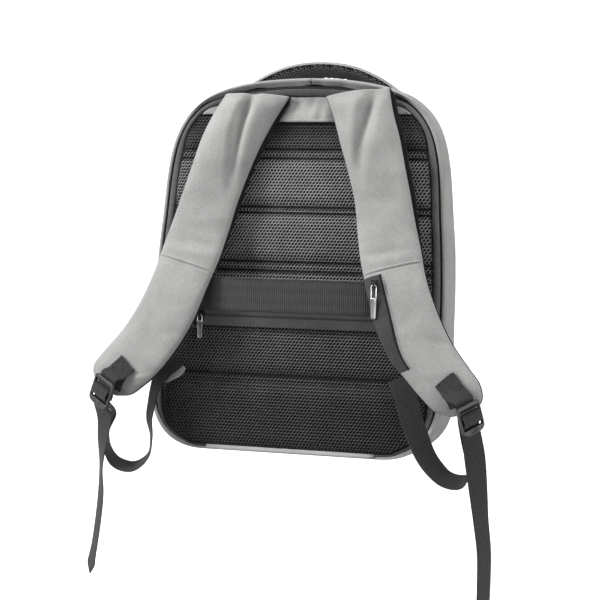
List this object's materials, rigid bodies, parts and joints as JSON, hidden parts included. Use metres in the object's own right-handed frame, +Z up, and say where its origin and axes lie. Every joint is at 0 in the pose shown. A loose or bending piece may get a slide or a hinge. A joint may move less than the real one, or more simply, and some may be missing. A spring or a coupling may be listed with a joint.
{
  "type": "anti-theft backpack",
  "caption": "Soft grey backpack with a zipped mesh back panel, padded shoulder straps, a luggage strap and a grab handle.",
  "frame": {"origin": "middle of the flat base, where the bag sits on a luggage case", "axes": "+Z up, +Y away from the wearer towards the front of the shell, +X to the right as seen facing the back panel"},
  "size_m": [0.4576, 0.2359, 0.5936],
  "materials": {
    "grey_cloth": "matt woven polyester",
    "binding_tape": "ribbed woven tape",
    "black_cloth": "matt woven polyester",
    "air_mesh": "open hexagonal spacer mesh",
    "webbing": "woven webbing with a slight sheen",
    "buckle_plastic": "moulded, satin",
    "zip_metal": "plated, bright"
  },
  "bodies": {
    "bag": {"shell": "grey_cloth", "zip_tape": "black_cloth", "panel_binding": "binding_tape", "hinge_gusset": "grey_cloth", "back_panel": "black_cloth", "mesh_pad": "air_mesh", "yoke": "grey_cloth", "luggage_strap": "webbing", "pocket_welt": "black_cloth", "strap_zip_band": "black_cloth", "handle_lining": "air_mesh", "handle_cover": "grey_cloth", "shoulder_strap_left": "grey_cloth", "strap_lining_left": "air_mesh", "anchor_webbing_left": "webbing", "ladder_lock_left": "buckle_plastic", "adjuster_webbing_left": "webbing", "lower_tab_left": "grey_cloth", "zip_slider_left": "zip_metal", "shoulder_strap_right": "grey_cloth", "strap_lining_right": "air_mesh", "anchor_webbing_right": "webbing", "ladder_lock_right": "buckle_plastic", "adjuster_webbing_right": "webbing", "lower_tab_right": "grey_cloth", "zip_slider_right": "zip_metal"},
    "left_pull": {"zip_pull_left": "zip_metal"},
    "right_pull": {"zip_pull_right": "zip_metal"}
  },
  "joints": [
    {"name": "left_pull_hinge", "type": "hinge", "parent": "bag", "child": "left_pull", "pos_m": [-0.1085, -0.07325, 0.15251], "axis": [-1, 0, 0], "range_deg": [0, 60]},
    {"name": "right_pull_hinge", "type": "hinge", "parent": "bag", "child": "right_pull", "pos_m": [0.103, -0.11531, 0.19501], "axis": [-1, 0, 0], "range_deg": [0, 90]}
  ]
}
